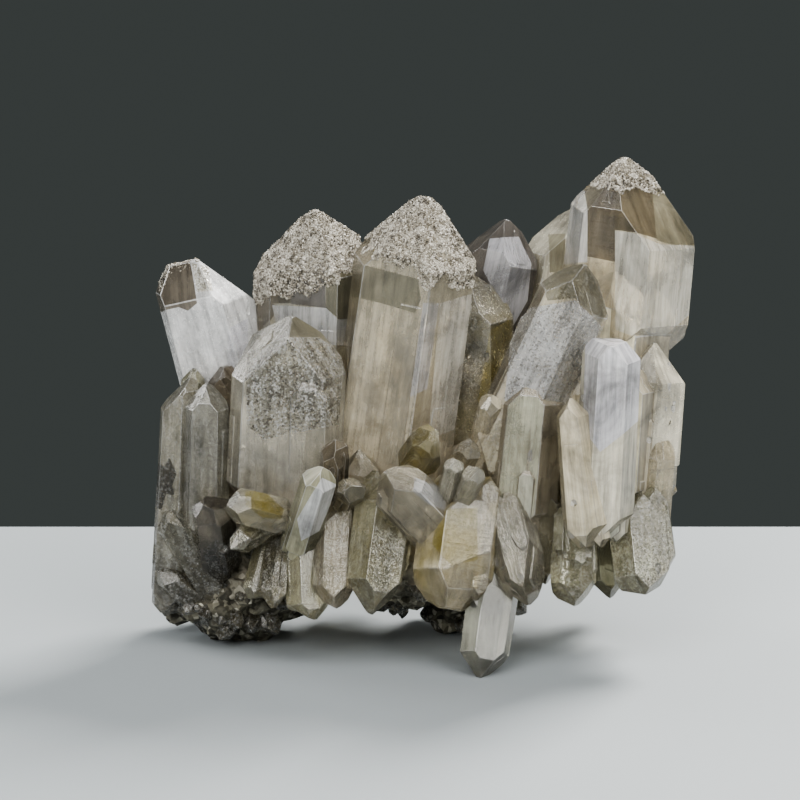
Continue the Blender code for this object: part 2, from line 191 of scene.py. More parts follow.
# How a crystal or a patch of it looks: its tint, how frosted its faces are, and its stain and sparkle
Look = namedtuple("Look", "tint frost stain sparkle", defaults=(0.0, 0.0))
GREY = (0.56, 0.53, 0.445)
BEIGE = (0.69, 0.625, 0.485)
CREAM = (0.73, 0.69, 0.57)
WHITE = (0.92, 0.915, 0.91)
# Pale lavender of painted reflections, not a colour of the quartz
LILAC_REFLECTION = (0.8, 0.795, 0.835)
SMOKE = (0.2, 0.175, 0.14)
BROWN = (0.175, 0.15, 0.108)
PLUM = (0.215, 0.197, 0.18)
OLIVE = (0.35, 0.325, 0.24)
GREEN = (0.5, 0.48, 0.34)
HONEY = (0.52, 0.46, 0.24)
MURKY = (0.22, 0.205, 0.155)
DARK = (0.06, 0.05, 0.035)
LOOKS = dict(
    leaning_left=Look(WHITE, 0.4, 0, 0.04), tall_left=Look(GREY, 0.15, 0.05),
    tall_middle=Look(BEIGE, 0.25, 0.05, 0.1), shoulder=Look(OLIVE, 0.3, 0.35, 0.4),
    back_middle=Look(PLUM, 0.1), back_right=Look(CREAM, 0.4), tall_right=Look(BEIGE, 0.1),
    right_column=Look(BEIGE, 0.3), front_left=Look((0.62, 0.585, 0.49), 0.2, 0, 0.12),
    leaning_right=Look(BEIGE, 0.25, 0, 0.25), below_leaning=Look((0.78, 0.7, 0.555), 0.3, 0.1, 0.05),
    lilac=Look(CREAM, 0.3), spindle=Look(BEIGE, 0.3, 0.2), right_wall=Look(CREAM, 0.4),
    right_wall_inner=Look(BEIGE, 0.3), left_outer=Look((0.42, 0.395, 0.32), 0.25, 0.05, 0.4),
    left_outer_small=Look(GREEN, 0.3), left_inner=Look((0.44, 0.42, 0.35), 0.2, 0, 0.3),
    left_brown=Look((0.26, 0.22, 0.165), 0.2, 0.1), left_nose=Look(SMOKE, 0.2),
    left_low=Look(OLIVE, 0.3, 0, 0.45), left_under=Look(MURKY, 0.4, 0, 0.5),
    left_blade=Look(OLIVE, 0.4, 0, 0.5), honey_left=Look(CREAM, 0.12, 0.35),
    honey_left_lower=Look(GREEN, 0.2, 0.3, 0.5), hanging_left=Look(GREEN, 0.15, 0.2, 0.2),
    hanging_left_inner=Look(OLIVE, 0.2, 0.3, 0.5), white_flash=Look(GREEN, 0.1),
    hanging_middle=Look(GREEN, 0.2, 0.2, 0.2), hanging_middle_right=Look(BEIGE, 0.2, 0.1, 0.3),
    stub_left=Look((0.28, 0.24, 0.18), 0.1), stub_left_low=Look(OLIVE, 0.1),
    hanging_wide=Look(GREEN, 0.2, 0.3, 0.3), grey_slab=Look(BEIGE, 0.15),
    honey_middle=Look(OLIVE, 0.2, 1), honey_hanging=Look(BEIGE, 0.25, 0.6),
    hanging_right=Look(GREY, 0.15, 0.1), hanging_right_back=Look(OLIVE, 0.2, 0.1),
    foot_point=Look((0.44, 0.44, 0.375), 0.08, 0, 0.05), end_point_left=Look(GREEN, 0.2, 0.1, 0.35),
    end_point_middle=Look(GREEN, 0.1, 0.2), end_point_right=Look((0.42, 0.405, 0.28), 0.25, 0.1, 0.4),
    splinter_left=Look(CREAM, 0.1, 0, 0.2), splinter_right=Look(CREAM, 0.1, 0, 0.2),
)
USUAL_LOOK = Look(BEIGE, 0.3, 0.2, 0.15)
LOW_LOOK = Look(MURKY, 0.4, 0.1, 0.6)
LOW_HEIGHT = 17


def look_of(spec):
    """The look of a crystal; the small ones low down are as murky as the rock they grow on."""
    if spec.name.startswith("small_") and spec.tip[2] < LOW_HEIGHT:
        return LOW_LOOK
    return LOOKS.get(spec.name, USUAL_LOOK)


Patch = namedtuple("Patch", "crystal look outline")


def zone(name, seen, *outline):
    """A zone with its own look on a crystal, outlined in the picture plane: x and the height as seen."""
    return Patch(name, seen, outline)


PATCHES = (
    zone("tall_left", Look(BROWN, 0.1), (-39.3, 79.4), (-30, 82.1), (-30.1, 75.7), (-34.3, 75.7),
         (-32.9, 75), (-34.3, 72.4), (-39.4, 68.4)),
    zone("tall_left", Look(PLUM, 0.1), (-30, 82.1), (-22.7, 84.7), (-22.3, 74.6), (-30.1, 75.5)),
    zone("tall_left", Look((0.27, 0.25, 0.18), 0.15), (-22.4, 84.7), (-18.5, 87.3), (-13.4, 87.3),
         (-15.7, 72.3), (-19.4, 72.1), (-22.3, 74.6)),
    zone("tall_left", Look(WHITE, 0.1), (-34.3, 75.3), (-22.3, 74.6), (-19.7, 72.1), (-15.7, 72.3),
         (-17, 66.4), (-32.6, 66.4)),
    zone("leaning_left", Look(SMOKE, 0.2), (-53.6, 87.5), (-52.5, 82.8), (-51.2, 75.9), (-53.3, 74.2),
         (-55.5, 75), (-59.8, 74.1), (-62.8, 75.9), (-62.7, 80), (-59.4, 88)),
    zone("leaning_left", Look(GREY, 0.6, 0, 0.6), (-52.7, 85), (-48.9, 84.1), (-47.7, 78.6),
         (-51.2, 78.4)),
    # Painted reflection in lilac
    zone("leaning_left", Look(LILAC_REFLECTION, 0.6), (-44.4, 69.9), (-40.1, 72.6), (-39.6, 57.6), (-44.5, 60.5)),
    zone("tall_middle", Look(OLIVE, 0.15), (-16.4, 84.5), (-2, 80.6), (-1.4, 76.1), (-2.7, 73.2),
         (-10.3, 75.5), (-16.8, 77.1)),
    # Painted reflection: a pale strip on the face
    zone("tall_middle", Look((0.78, 0.755, 0.74), 0.15), (-0.9, 75.4), (2.6, 75.4), (0, 56.7),
         (-3.7, 54.9)),
    # Painted light: this face lies in shade and is made pale to look lit
    zone("tall_middle", Look((0.97, 0.92, 0.81), 0.3, 0, 0.12), (2.8, 75.4), (11.5, 78.2), (9.4, 67.4),
         (6.2, 47.7), (0.2, 45.4)),
    zone("front_left", Look(OLIVE, 0.2, 0, 0.1), (-41.6, 66.2), (-35.9, 73.2), (-29.8, 76.8),
         (-22.2, 75.3), (-15, 66.1), (-17.9, 64.7), (-23.7, 68.1), (-30.9, 68.1), (-36.8, 65.1)),
    zone("front_left", Look(GREY, 0.35, 0, 1), (-39.5, 64.7), (-30.9, 67.9), (-23.7, 67.9),
         (-18.1, 64.2), (-19.5, 48.8), (-27.8, 47.3), (-36.1, 45.5), (-39.6, 48.8)),
    zone("tall_right", Look(SMOKE, 0.1), (35.4, 101.4), (41.3, 102.8), (41.5, 84.7), (35.5, 86)),
    zone("tall_right", Look(BROWN, 0.08), (41.3, 102.8), (50.1, 103.8), (50.7, 89.9), (45.2, 91.2),
         (41.4, 91.7)),
    zone("tall_right", Look(OLIVE, 0.08), (50.1, 103.8), (56.6, 100.8), (61.6, 88.8), (55.8, 88.2),
         (50.7, 89.5)),
    zone("tall_right", Look((0.84, 0.82, 0.74), 0.15), (41.4, 91.5), (45.2, 91), (51.4, 88.6),
         (61.6, 88.6), (62.3, 76.4), (50.6, 66.4), (41.7, 69.8)),
    zone("tall_right", Look(WHITE, 0.15), (29.8, 99.3), (35.4, 101.4), (35.5, 84.7), (30, 84.7)),
    zone("tall_right", Look(BEIGE, 0.15), (31.7, 84.7), (41.3, 84.7), (41.5, 66.4), (31.9, 66.4)),
    # Painted reflection in lilac on the cap
    zone("back_middle", Look(LILAC_REFLECTION, 0.25), (14.3, 90.7), (21, 91.3), (23.8, 85.3), (23, 76.8),
         (19.4, 70.5), (12.8, 83.5)),
    zone("leaning_right", Look(WHITE, 0.3, 0, 0.5), (19, 73.8), (32, 75.9), (38, 70.5), (32.2, 54.2),
         (26.4, 47.7), (16.9, 54.2)),
    zone("leaning_right", Look(OLIVE, 0.2, 0, 0.3), (24.4, 81.3), (33.4, 86.9), (39.8, 73.8), (38, 71.2),
         (32, 76.3), (26.1, 75.9)),
    zone("shoulder", Look(HONEY, 0.4, 1, 0.2), (14.1, 69.8), (19, 72.5), (20.8, 54.2), (13.1, 47.5),
         (11.5, 54.2)),
    # Painted reflection in lilac
    zone("lilac", Look(LILAC_REFLECTION, 0.3), (34.3, 70), (46.6, 70), (46.1, 49.9), (37.4, 43), (33.7, 47.8)),
    zone("left_outer", Look(DARK, 0.6, 0, 0.3), (-62.4, 37.2), (-60.2, 41), (-58.4, 39.4), (-57.2, 41.5),
         (-55.6, 38), (-56.6, 35.2), (-56.1, 32.8), (-58, 33.4), (-59.2, 29.8), (-62.6, 31)),
    zone("honey_hanging", Look(HONEY, 0.3, 1), (2.7, 30.5), (10.9, 30.9), (10.9, 19.6), (5.3, 18.3),
         (1, 22.9)),
    zone("grey_slab", Look(WHITE, 0.15), (-2.7, 37.5), (3.7, 34.9), (4.2, 30.2), (0.1, 31.7),
         (-3.1, 34.5)),
    # Painted highlight: the white flash of light on this crystal
    zone("white_flash", Look(WHITE, 0.08), (-22.7, 37.5), (-19.5, 35.9), (-21, 31.6), (-23.6, 25.6),
         (-27.5, 23.5), (-28.3, 28.4), (-25.3, 33.4)),
    zone("honey_left", Look(HONEY, 0.15, 1, 0.2), (-39.8, 34.3), (-35.9, 34.7), (-31.3, 30.4),
         (-32, 28.2), (-35.9, 28.6), (-39.4, 31.5)),
    # Painted shade: the dark recess at the foot of this crystal
    zone("left_nose", Look(DARK, 0.3, 0, 0.3), (-49.6, 21.2), (-46.2, 23.6), (-43, 20.4), (-40, 21.5),
         (-39.3, 9), (-47.5, 9)),
    zone("back_right", Look(OLIVE, 0.2), (27.9, 92.1), (31.5, 92.1), (31.6, 83.2), (28, 83.2)),
)
# How steeply the camera looks down, the picture's upward direction, and the way that the camera looks
CAMERA_RISE = math.radians(12)
PICTURE_UP = Vector((0, math.sin(CAMERA_RISE), math.cos(CAMERA_RISE)))
VIEW = Vector((0, math.cos(CAMERA_RISE), -math.sin(CAMERA_RISE)))

# Crystals whose quartz is milky all through
MILKY = {"leaning_left", "back_right", "lilac", "right_wall", "right_wall_inner", "right_column", "spindle",
         "back_b", "back_d", "white_flash"}
# Small points whose ends stayed whole; the others at the front and the left end are broken
WHOLE = {"foot_point", "white_flash", "grey_slab", "left_outer", "left_inner", "splinter_left",
         "splinter_right"}
# The small points at the front and the left end, which have fewer and bolder growth steps
FEW_STEPS = {spec.name for spec in (*LEFT_END, *FRONT)}
BROKEN = FEW_STEPS - WHOLE


def druse(dice):
    """Small points at random that stand out of the rock towards the back and downwards."""
    for index in range(DRUSE_COUNT):
        share = (index + dice.uniform(0.1, 0.9)) / DRUSE_COUNT
        x = DRUSE_FROM + DRUSE_SPAN * share
        foot = Vector((x, 6, 26 if x > -28 else 15))
        angle = math.radians(dice.uniform(-50, 45))
        way = Vector((dice.uniform(-0.45, 0.45), math.cos(angle), math.sin(angle)))
        tip = foot + way.normalized() * dice.uniform(*DRUSE_LENGTH)
        width = dice.uniform(*DRUSE_WIDTH)
        yield crystal("druse_%02d" % index, tuple(foot), tuple(tip), width, turn=dice.uniform(0, 60))


# Still smaller points that crowd the rock, how deep they root, and the box that keeps them in the outline
SMALL_COUNT = 330
SMALL_WIDTH = (1.8, 4.2)
SMALL_ROOT = 4.0
SMALL_WITHIN = ((-61.3, -31.1, 0.3), (58.9, 39.0, 108.0))

# How many growth steps a crystal has, by its width, and how many of its companions
STEP_WIDTH = 1.6
BOLD_STEP_WIDTH = 2.8
CAP_STEP_WIDTH = 4.5
COMPANIONS = 4
THIN_COMPANIONS = 3
THIN_WIDTH = 10
COMPANION_SHARE = (0.28, 0.5)
BREAK_COUNT = 3
BREAK_DEPTH = (0.06, 0.20)


def small_points(dice):
    """Small points that crowd the foot of the cluster all round."""
    low, high = SMALL_WITHIN
    for index in range(SMALL_COUNT):
        lump = ROCK[index % len(ROCK)]
        out = Vector((dice.gauss(0, 1), dice.gauss(0, 1), dice.gauss(-0.25, 0.8))).normalized()
        foot = Vector(lump.middle) + Vector(a * b * 0.8 for a, b in zip(out, lump.radii))
        way = out + Vector((dice.gauss(0, 0.35), dice.gauss(0, 0.35), dice.gauss(-0.1, 0.35)))
        width = dice.uniform(*SMALL_WIDTH)
        tip = foot + way.normalized() * (dice.uniform(2.4, 3.6) + width * 0.75)
        foot -= way.normalized() * SMALL_ROOT
        if all(low[axis] < tip[axis] < high[axis] for axis in range(3)):
            yield crystal("small_%03d" % index, tuple(foot), tuple(tip), width, turn=dice.uniform(0, 60))


def companions(spec, dice):
    """Thinner points that grew side by side with a crystal, almost parallel to it."""
    foot, tip = Vector(spec.foot), Vector(spec.tip)
    along = (tip - foot).normalized()
    across = Vector((0, 1, 0)).cross(along).normalized()
    away = along.cross(across)
    for _ in range(THIN_COMPANIONS if spec.width < THIN_WIDTH else COMPANIONS):
        angle = dice.uniform(0, math.tau)
        share = dice.uniform(*COMPANION_SHARE)
        reach = (0.5 - share / 2) * spec.width + dice.uniform(0.0, 0.5)
        aside = across * math.cos(angle) * reach + away * math.sin(angle) * reach * spec.depth / spec.width
        short = dice.uniform(0.12, 0.6) * (tip - foot).length
        lean = Vector((dice.gauss(0, 0.02), dice.gauss(0, 0.02), dice.gauss(0, 0.02)))
        end = tip + aside - along * short + lean * (tip - foot).length
        yield spec._replace(foot=tuple(foot + aside), tip=tuple(end), width=spec.width * share,
                            depth=spec.depth * share, turn=spec.turn + dice.gauss(0, 6), skew=(0, 0),
                            blunt=0.0, caps=None)


def planes_of(spec, dice):
    """The planes that bound a quartz point, three for each of its six sides, and its directions."""
    along = (Vector(spec.tip) - Vector(spec.foot)).normalized()
    across = Vector((0, 1, 0)).cross(along)
    if across.length < 0.3:
        across = Vector((0, 0, 1)).cross(along)
    across.normalize()
    away = along.cross(across)
    apex, foot = Vector(spec.tip), Vector(spec.foot)
    middle = apex - across * spec.skew[0] - away * spec.skew[1]
    along = (middle - foot).normalized()
    across = (across - along * across.dot(along)).normalized()
    away = along.cross(across)
    shoulder = middle - along * spec.width * 0.6
    lean = math.radians(spec.taper)
    planes = []
    for face in range(PRISM_FACES):
        angle = math.radians(spec.turn + 60 * face)
        outward = across * math.cos(angle) + away * math.sin(angle)
        reach = math.hypot(spec.width / 2 * math.cos(angle), spec.depth / 2 * math.sin(angle))
        reach *= 0.97 + dice.uniform(-FACE_UNEVENNESS, FACE_UNEVENNESS)
        planes.append((shoulder + outward * reach, outward * math.cos(lean) + along * math.sin(lean)))
        usual = (CAP_LARGE if face % 2 else CAP_SMALL) * dice.uniform(0.1, 1.3)
        extra = (spec.caps[face] if spec.caps else usual) * spec.width
        for end, way in ((apex, along), (foot, -along)):
            planes.append((end + way * extra, outward * math.sin(CAP_SLOPE) + way * math.cos(CAP_SLOPE)))
    if spec.blunt:
        planes.append((apex - along * spec.blunt, along))
    planes.append((foot + along * spec.width * FOOT_BREAK, -along))
    return planes, foot, along


def cut(shape, point, normal):
    """Cuts a convex solid by a plane, keeping the side that the normal points away from."""
    done = bmesh.ops.bisect_plane(
        shape, geom=shape.verts[:] + shape.edges[:] + shape.faces[:], dist=1e-6,
        plane_co=point, plane_no=normal, clear_outer=True,
    )
    rim = [piece for piece in done["geom_cut"] if isinstance(piece, bmesh.types.BMEdge)]
    if rim:
        bmesh.ops.holes_fill(shape, edges=rim, sides=0)


def any_way(dice):
    """A direction at random."""
    return Vector((dice.gauss(0, 1), dice.gauss(0, 1), dice.gauss(0, 1)))


def any_turn(dice):
    """A rotation at random."""
    return Matrix.Rotation(dice.uniform(0, math.tau), 3, any_way(dice))


def break_ways(spec, along, dice):
    """Where the end of a small point is broken: the directions of the breaks and how deep they cut."""
    ways = []
    for _ in range(BREAK_COUNT):
        aside = along.cross(any_way(dice)).normalized()
        slant = dice.uniform(0.1, 1.2)
        way = aside * math.cos(slant) + along * math.sin(slant)
        ways.append((way, dice.uniform(*BREAK_DEPTH) * spec.width))
    return ways


def convex_from(planes, foot, along, reach, length, bevel, breaks=()):
    """A block cut by planes and then broken, with its sharp edges slightly worn."""
    shape = bmesh.new()
    bmesh.ops.create_cube(shape, size=2)
    bmesh.ops.scale(shape, vec=(reach, reach, length), verts=shape.verts[:])
    facing = along.to_track_quat("Z", "Y").to_matrix().to_4x4()
    bmesh.ops.transform(shape, matrix=Matrix.Translation(foot) @ facing, verts=shape.verts[:])
    for point, normal in planes:
        cut(shape, point, normal)
    for way, depth in breaks:
        if shape.verts:
            point = way * (max(vert.co.dot(way) for vert in shape.verts) - depth)
            cut(shape, point, way)
            planes.append((point, way))
    if bevel and shape.faces:
        bmesh.ops.remove_doubles(shape, verts=shape.verts[:], dist=0.02)
        bmesh.ops.bevel(
            shape, geom=shape.edges[:], offset=bevel, offset_type="OFFSET", segments=1,
            profile=0.5, affect="EDGES", clamp_overlap=True,
        )
    bmesh.ops.recalc_face_normals(shape, faces=shape.faces[:])
    return shape


def to_frame(point):
    """From the layout in millimetres to the frame in metres."""
    return (Vector(point) - FOOTPRINT_MIDDLE) * MM


def add_object(name, shape, collection):
    """Turns a shape in millimetres of the layout into an object in metres."""
    shape.transform(Matrix.Scale(MM, 4) @ Matrix.Translation(-FOOTPRINT_MIDDLE))
    mesh = bpy.data.meshes.new(name)
    shape.to_mesh(mesh)
    shape.free()
    made = bpy.data.objects.new(name, mesh)
    collection.objects.link(made)
    return made


def moved(planes, moves):
    """The planes of the sides, each moved inwards, and the others where they were."""
    pushed = [(point - normal * move, normal) for (point, normal), move in zip(planes, moves)]
    return pushed + planes[len(moves):]


def ledge_planes(planes, spec, dice):
    """The same crystal again with one side a little proud and the rest drawn in: a growth step."""
    side = dice.randrange(PRISM_FACES)
    proud = dice.uniform(0.03, 0.22) * (0.5 + spec.width / 25)
    fall = dice.uniform(0.04, 0.8) * (Vector(spec.tip) - Vector(spec.foot)).length
    moves = []
    for face in range(PRISM_FACES):
        inward = -proud if face == side else dice.uniform(0.02, 0.5) * spec.width
        drop = fall * dice.uniform(0.7, 1.3) * math.cos(CAP_SLOPE)
        moves += (inward, drop, 0)
    return moved(planes, moves)


def cap_step_planes(planes, spec, dice):
    """The same crystal with one termination face slightly proud and its neighbours drawn in."""
    side = dice.randrange(PRISM_FACES)
    proud = dice.uniform(0.08, 0.3)
    moves = []
    for face in range(PRISM_FACES):
        inward = dice.uniform(0.05, 0.3) * spec.width * (1 if face != side else 0.1)
        drop = -proud if face == side else dice.uniform(0.03, 0.25) * spec.width
        moves += (inward, drop, 0)
    return moved(planes, moves)


Grown = namedtuple("Grown", "spec planes foot along apex shade")


def grow_crystals():
    """Every crystal and its growth steps as objects to be joined, with the planes that bound each."""
    scene = bpy.context.scene.collection
    groups = {name: bpy.data.collections.new(name) for name in ("clear_points", "milky_points")}
    for collection in groups.values():
        scene.children.link(collection)
    dice = random.Random(5)
    steps = random.Random(11)
    grown = {name: [] for name in groups}
    named = (*SKYLINE, *MIDDLE_ROW, *LEFT_END, *FRONT, *BACK, *druse(dice), *BETWEEN)
    beside = [other for spec in (*LEFT_END, *FRONT, *BACK, *MIDDLE_ROW) for other in companions(spec, steps)]
    for order, spec in enumerate((*named, *small_points(random.Random(3)), *beside)):
        planes, foot, along = planes_of(spec, dice if order < len(named) else random.Random(order))
        length = (Vector(spec.tip) - foot).length
        reach = max(spec.width, spec.depth)
        variants = [planes]
        ledges = int(spec.width / (BOLD_STEP_WIDTH if spec.name in FEW_STEPS else STEP_WIDTH))
        variants += [ledge_planes(planes, spec, steps) for _ in range(ledges)]
        variants += [cap_step_planes(planes, spec, steps) for _ in range(int(spec.width / CAP_STEP_WIDTH))]
        breaks = break_ways(spec, along, steps) if spec.name in BROKEN else []
        for index, bounds in enumerate(variants):
            bevel = EDGE_BEVEL + EDGE_BEVEL_SHARE * spec.width if index == 0 else EDGE_BEVEL
            worn = [(way, depth * steps.uniform(0.6, 1.3)) for way, depth in breaks]
            shape = convex_from(bounds, foot, along, reach, length, bevel, worn)
            if len(shape.faces) < 6:
                shape.free()
                continue
            group = "milky_points" if spec.name in MILKY else "clear_points"
            add_object("%s_%d" % (spec.name, index), shape, groups[group])
            shade = 1.0 if index == 0 else steps.uniform(0.78, 1.18)
            grown[group].append(Grown(spec, bounds, foot, along, Vector(spec.tip), shade))
    return groups, grown


CHIP_COUNT = 150
CHIP_SIZE = (0.25, 1.3)
CHIPPED_WIDTH = 6


def make_chips(grown, dice):
    """Small rough balls on edges of the crystals, to be taken out of them as chips."""
    chips = bpy.data.collections.new("chips")
    bpy.context.scene.collection.children.link(chips)
    large = [item for item in grown if item.spec.width > CHIPPED_WIDTH and item.spec.name not in WHOLE]
    for index in range(CHIP_COUNT):
        item = dice.choice(large)
        sides = dice.randrange(PRISM_FACES)
        (one, first), (two, second) = item.planes[sides * 3], item.planes[(sides + 1) % PRISM_FACES * 3]
        # The edge of two neighbouring prism faces, at a random height
        level = dice.uniform(0.2, 0.9)
        start = item.foot.lerp(item.apex, level)
        matrix = Matrix((first, second, item.along))
        if abs(matrix.determinant()) < 0.2:
            continue
        place = matrix.inverted() @ Vector((one.dot(first), two.dot(second), start.dot(item.along)))
        size = dice.uniform(*CHIP_SIZE)
        shape = bmesh.new()
        bmesh.ops.create_icosphere(shape, subdivisions=1, radius=1)
        for vert in shape.verts:
            vert.co *= dice.uniform(0.75, 1.15)
        bmesh.ops.scale(shape, vec=(size, size, size * dice.uniform(1, 2.4)), verts=shape.verts[:])
        facing = item.along.to_track_quat("Z", "Y").to_matrix().to_4x4()
        outward = (first + second).normalized() * size * 0.55
        shape.transform(Matrix.Translation(place + outward) @ facing)
        add_object("chip_%03d" % index, shape, chips)
    return chips


def apply_boolean(body, operation, operands):
    """Joins or takes out a whole collection, and then removes it."""
    added = body.modifiers.new(operation.lower(), "BOOLEAN")
    added.operation = operation
    added.solver = "MANIFOLD"
    added.operand_type = "COLLECTION"
    added.collection = operands
    evaluated = body.evaluated_get(bpy.context.evaluated_depsgraph_get())
    solid = bpy.data.meshes.new_from_object(evaluated)
    body.modifiers.clear()
    body.data = solid
    for helper in list(operands.objects):
        bpy.data.objects.remove(helper)
    bpy.data.collections.remove(operands)


def add_surface_block(collection):
    """The surface that the cluster rests on, as a block that trims its feet flat."""
    shape = bmesh.new()
    bmesh.ops.create_cube(shape, size=300)
    bmesh.ops.translate(shape, vec=(0, 0, -150), verts=shape.verts[:])
    add_object("surface", shape, collection)


def joined(name, parts, grown):
    """The crystals of one kind as one closed solid, chipped here and there and trimmed where it rests."""
    body = parts.objects[0]
    body.name = name
    bpy.context.scene.collection.objects.link(body)
    parts.objects.unlink(body)
    apply_boolean(body, "UNION", parts)
    chips = make_chips(grown, random.Random(21))
    add_surface_block(chips)
    apply_boolean(body, "DIFFERENCE", chips)
    return body


# How far, in metres, the middle of a face lies off the faces of its crystal where it is a worn edge
EDGE_DEPTH = 0.000006
# Share by which worn edges are whitened: a painted highlight along the edges
EDGE_PAINTED_HIGHLIGHT = 0.65
# How quickly the painted facet shading, a tone of each face set by the way it faces, changes with that way,
# and by how much
FACET_SHADE_SPREAD = 2.3
FACET_SHADE_SHARE = 0.9


def values_of(items, name, width=1, kind=float):
    """One value or vector of each item of a mesh, as an array."""
    values = np.empty(len(items) * width, dtype=kind)
    items.foreach_get(name, values)
    return values.reshape(-1, width) if width > 1 else values


def owners_of(mesh, grown):
    """Which crystal each face of the joined solid belongs to, and whether it is a worn edge or a chip."""
    count = len(mesh.polygons)
    centres = values_of(mesh.polygons, "center", 3)
    best = np.full(count, 1e9)
    owner = np.zeros(count, dtype=int)
    for index, item in enumerate(grown):
        points = np.array([to_frame(point) for point, _ in item.planes])
        normals = np.array([normal for _, normal in item.planes])
        depth = np.abs((centres @ normals.T - (points * normals).sum(axis=1)).max(axis=1))
        closer = depth < best
        best[closer] = depth[closer]
        owner[closer] = index
    return owner, best > EDGE_DEPTH


def picture_place(point):
    """A point of the frame in the picture plane of the patches, in millimetres."""
    place = Vector(point) / MM + FOOTPRINT_MIDDLE
    return place.x, place.dot(PICTURE_UP)


def inside(outline, x, y):
    """Whether a point lies inside an outline."""
    hit = False
    for (x0, y0), (x1, y1) in zip(outline, outline[1:] + outline[:1]):
        if (y0 > y) != (y1 > y) and x < (x1 - x0) * (y - y0) / (y1 - y0) + x0:
            hit = not hit
    return hit


# How far a face may turn away from the camera and still be cut by a patch
SEEN = 0.1


def cut_patches(body, grown):
    """Cuts the outlines of the patches into the faces they lie on and notes crystal and patch there."""
    mesh = body.data
    owner, worn = owners_of(mesh, grown)
    shape = bmesh.new()
    shape.from_mesh(mesh)
    layers = shape.faces.layers.int
    owner_layer, patch_layer, worn_layer = map(layers.new, ("owner", "patch", "worn"))

    def seen_faces(name):
        return [face for face in shape.faces if grown[face[owner_layer]].spec.name == name
                and face.normal.dot(VIEW) < SEEN]

    for face, index, edge in zip(shape.faces, owner, worn):
        face[owner_layer] = int(index)
        face[worn_layer] = int(edge)
    for number, patch in enumerate(PATCHES, 1):
        outline = patch.outline
        for (x0, y0), (x1, y1) in zip(outline, outline[1:] + outline[:1]):
            faces = seen_faces(patch.crystal)
            geometry = set(faces)
            for face in faces:
                geometry.update(face.edges)
                geometry.update(face.verts)
            along = Vector((x1 - x0, 0, 0)) + PICTURE_UP * (y1 - y0)
            start = Vector((x0, 0, 0)) + PICTURE_UP * y0
            bmesh.ops.bisect_plane(shape, geom=list(geometry), dist=1e-7, plane_co=to_frame(start),
                                   plane_no=along.cross(VIEW).normalized())
        for face in seen_faces(patch.crystal):
            if inside(outline, *picture_place(face.calc_center_median())):
                face[patch_layer] = number
    shape.to_mesh(mesh)
    shape.free()


def mark_faces(body, grown):
    """Stores on each face corner how the crystal or patch it belongs to looks, with painted facet shading
    and painted highlights on worn edges, and where it is on it.
    """
    mesh = body.data
    count = len(mesh.polygons)
    owner, patch, worn = (values_of(mesh.attributes[name].data, "value", kind=np.int32)
                          for name in ("owner", "patch", "worn"))
    corner_face = np.repeat(np.arange(count), values_of(mesh.polygons, "loop_total", kind=np.int32))
    corners = values_of(mesh.loops, "vertex_index", kind=np.int32)
    places = values_of(mesh.vertices, "co", 3)[corners]
    facing = values_of(mesh.polygons, "normal", 3)
    apexes = np.array([to_frame(item.apex) for item in grown])[owner][corner_face]
    axes = np.array([item.along for item in grown])[owner][corner_face]
    tangents = np.cross(axes, facing[corner_face])
    tangents /= np.linalg.norm(tangents, axis=1, keepdims=True) + 1e-9
    looks = [look_of(item.spec) for item in grown]
    chosen = [PATCHES[number - 1].look if number else looks[index] for index, number in zip(owner, patch)]
    tint, frost, stain, sparkle = (np.array(column) for column in zip(*chosen))
    values = {
        "across": (places * tangents).sum(axis=1) / MM,
        "below_tip": -((places - apexes) * axes).sum(axis=1) / MM,
        "frost": (frost * (1 - worn))[corner_face],
        "stain": stain[corner_face],
        "sparkle": sparkle[corner_face],
    }
    for name, numbers in values.items():
        made = mesh.attributes.new(name, "FLOAT", "CORNER")
        made.data.foreach_set("value", numbers.astype(np.float32))
    made = mesh.attributes.new("tint", "FLOAT_COLOR", "CORNER")
    shades = np.array([grown[index].shade for index in owner])[:, None]
    tints = tint * np.where(patch[:, None] > 0, 1, shades)
    # Painted facet shading: faces that point different ways get lighter or darker tints, standing in for the
    # light each facet catches
    painted_facet_shades = [noise.noise(Vector(normal) * FACET_SHADE_SPREAD) for normal in facing]
    shares = np.where(patch > 0, FACET_SHADE_SHARE / 2, FACET_SHADE_SHARE)
    tints *= np.clip(1 + shares * np.array(painted_facet_shades), 0.5, 1.5)[:, None]
    # Worn edges are mixed toward white as painted highlight lines
    painted_highlight = EDGE_PAINTED_HIGHLIGHT * worn[:, None]
    tints = np.clip(tints * (1 - painted_highlight) + np.array(WHITE) * painted_highlight, 0, 1)
    tints = np.column_stack((tints, np.ones(count)))[corner_face]
    made.data.foreach_set("color", tints.astype(np.float32).ravel())
    for name in ("owner", "patch", "worn"):
        mesh.attributes.remove(mesh.attributes[name])


